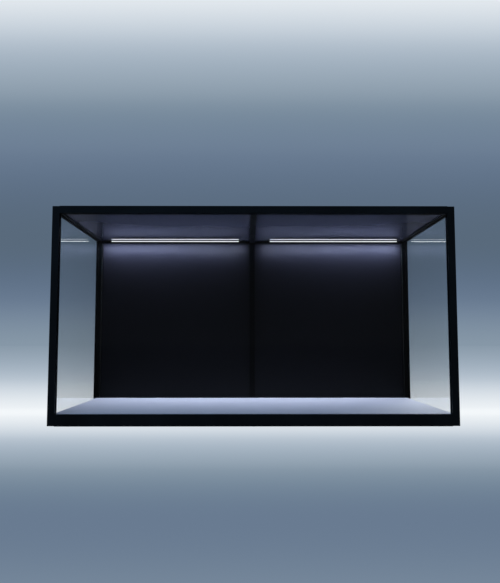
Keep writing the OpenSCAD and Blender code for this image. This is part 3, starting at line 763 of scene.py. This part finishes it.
def make_world():
    """Plain backdrop, shaded by the slope above the horizon."""
    world = bpy.data.worlds.new("studio")
    bpy.context.scene.world = world
    world.use_nodes = True
    nt = world.node_tree
    nt.nodes.clear()
    out = new_node(nt, "OutputWorld")
    way = new_node(nt, "TexCoord").outputs["Generated"]
    across = calc(nt, "ABSOLUTE", axis(nt, way, "X"))
    along = calc(nt, "ABSOLUTE", axis(nt, way, "Y"))
    slope = calc(nt, "DIVIDE", axis(nt, way, "Z"), calc(nt, "MAXIMUM", across, along))
    seen = shaded(nt, slope, WORLD_TOP, WORLD_STOPS)
    feed(nt, out.inputs[0], seen_or_lit(nt, "Background", seen, WORLD_LIGHT))


def make_floor():
    """Plain floor, brightest in a band under the case."""
    bpy.ops.mesh.primitive_circle_add(vertices=128, radius=FLOOR_RADIUS, fill_type="NGON")
    floor = bpy.context.object
    floor.name = "floor"
    mat = bpy.data.materials.new("floor")
    mat.use_nodes = True
    nt = mat.node_tree
    nt.nodes.clear()
    out = new_node(nt, "OutputMaterial")
    place = new_node(nt, "NewGeometry").outputs["Position"]
    away = calc(nt, "ADD", axis(nt, place, "Y"), -FLOOR_LINE_Y)
    near = calc(nt, "DIVIDE", 1.0, calc(nt, "MAXIMUM", away, FLOOR_NEAREST))
    seen = shaded(nt, near, FLOOR_TOP, FLOOR_STOPS)
    feed(nt, out.inputs[0], seen_or_lit(nt, "Emission", seen, FLOOR_LIGHT))
    floor.data.materials.append(mat)


# ---- Lights and camera --------------------------------------------------------------------


def area_light(name, where, size, turn, power, colour, glossy=False):
    """A rectangular light that the camera doesn't see, turned by angles in degrees."""
    data = bpy.data.lights.new(name, "AREA")
    data.shape = "RECTANGLE"
    data.size, data.size_y = size
    data.energy = power
    data.color = colour
    obj = bpy.data.objects.new(name, data)
    bpy.context.scene.collection.objects.link(obj)
    obj.location = where
    obj.rotation_euler = [math.radians(angle) for angle in turn]
    obj.visible_camera = False
    obj.visible_glossy = glossy
    return obj


WASH_COLOUR = (0.70, 0.765, 1.0)
WASH_POWER = 7.3
WASH_SHARES = (0.62, 0.78, 0.98, 1.1, 1.2)
WASH_TILT = (34, 0, 0)
WASH_BACK = 29 * MM
WASH_DROP = 18 * MM
WASH_W = 6 * MM
WASH_PAST = 30 * MM
GLEAM_COLOUR = (0.95, 0.97, 1.0)
GLEAM_POWER = 0.0042


def wash_ends(side, low, high):
    """Where a strip's light starts, near the middle of the case, and where it ends."""
    door_low, door_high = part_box(f"door_panel_{side}")
    if side == "left":
        start = min(high.x + WASH_PAST, door_high.x - WASH_PAST)
        end = max(low.x - WASH_PAST, door_low.x + 11 * MM)
    else:
        start = max(low.x - WASH_PAST, door_low.x + WASH_PAST)
        end = min(high.x + WASH_PAST, door_high.x - 14 * MM)
    return start, end


def make_wash(side, low, high):
    """A strip's light on the deck and the doors, stronger towards the outer end."""
    start, end = wash_ends(side, low, high)
    piece = (end - start) / len(WASH_SHARES)
    size = (abs(piece), WASH_W)
    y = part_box(f"door_panel_{side}")[0].y - WASH_BACK
    for i, share in enumerate(WASH_SHARES):
        where = (start + piece * (i + 0.5), y, low.z - WASH_DROP)
        power = WASH_POWER * share * abs(piece)
        area_light(f"wash_{side}_{i}", where, size, WASH_TILT, power, WASH_COLOUR)


def make_gleam(side, low, high):
    """A weak light on a strip that only gloss shows, for its shine in the panes."""
    where = ((low.x + high.x) / 2, low.y - 0.4 * MM, (low.z + high.z) / 2)
    size = (high.x - low.x, (high.z - low.z) * 0.6)
    shine = area_light(f"gleam_{side}", where, size, (-90, 0, 0), GLEAM_POWER, GLEAM_COLOUR, True)
    shine.visible_diffuse = False


KEY_PLACE = (-1.2, -2.2, 2.4)
KEY_COLOUR = (0.27, 0.55, 1.0)
KEY_POWER = 25.0
FILL_PLACE = (0.9, 2.3, 1.9)
FILL_COLOUR = (0.92, 0.96, 1.0)
FILL_POWER = 70.0


def make_lights():
    """The strips' light, a blue key light from the front left and a fill from the rear."""
    for side in SIDES:
        low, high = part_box(f"light_diffuser_{side}")
        make_wash(side, low, high)
        make_gleam(side, low, high)
    area_light("key", KEY_PLACE, (2.4, 1.6), (48, 0, -28), KEY_POWER, KEY_COLOUR)
    area_light("rear_fill", FILL_PLACE, (2.2, 1.4), (-52, 0, -20), FILL_POWER, FILL_COLOUR, True)


CAMERA_PLACE = (-0.0213, -2.1184, 0.2415)
CAMERA_UP = 0.08272
CAMERA_SWING = -0.0055
CAMERA_LENS = 38.47


def make_camera():
    """A low camera in front of the case, tilted up a little."""
    data = bpy.data.cameras.new("camera")
    data.lens = CAMERA_LENS
    data.sensor_width = 36
    data.clip_end = 200
    cam = bpy.data.objects.new("camera", data)
    bpy.context.scene.collection.objects.link(cam)
    cam.location = CAMERA_PLACE
    cam.rotation_euler = (math.pi / 2 + CAMERA_UP, 0, CAMERA_SWING)
    bpy.context.scene.camera = cam


make_finishes()
make_camera()
dress_nodes()
make_pieces()
make_world()
make_floor()
make_lights()
bpy.context.scene.view_settings.view_transform = "Standard"
